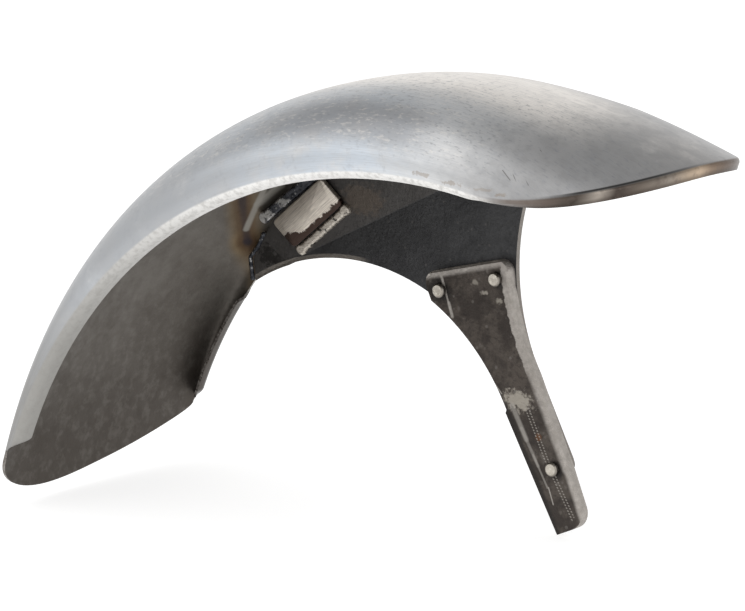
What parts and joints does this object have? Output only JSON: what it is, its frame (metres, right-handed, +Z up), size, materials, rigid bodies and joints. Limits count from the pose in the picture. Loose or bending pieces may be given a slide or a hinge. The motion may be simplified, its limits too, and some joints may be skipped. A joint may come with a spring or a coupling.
{
  "type": "motorcycle front mudguard",
  "caption": "Short raw-steel front mudguard: arched pressed shell with a duck-bill visor and turned-in edges, held on one side by a flat side plate with a thick leg bracket and three studs.",
  "frame": {"origin": "the middle of the fork pad, on the outer face of the side plate, midway between the two upper studs; the wheel centre lies at X 73.8 mm, Y -97.5 mm, Z -245.5 mm", "axes": "+X forward, towards the visor; +Y out of the side plate, away from the wheel; +Z up, as fitted on the motorcycle"},
  "size_m": [0.5162, 0.2055, 0.3212],
  "materials": {
    "shell_steel": "bare brushed sheet steel with a light cream sheen on the crown",
    "plate_steel": "dark hot-rolled skin with ground edges",
    "bracket_steel": "mottled mill scale with a ground bright border",
    "stud_steel": "plain bright steel",
    "gusset_steel": "coarsely ground, with brown mill scale along one edge",
    "weld_steel": "weld bead, partly ground"
  },
  "bodies": {
    "root": {"shell": "shell_steel", "side_plate": "plate_steel", "leg_bracket": "bracket_steel", "stud_rear": "stud_steel", "stud_front": "stud_steel", "stud_lower": "stud_steel", "gusset": "gusset_steel", "weld_gusset_shell": "weld_steel", "weld_gusset_plate": "weld_steel", "weld_wing_end": "weld_steel", "weld_wing_top": "weld_steel"}
  },
  "joints": []
}
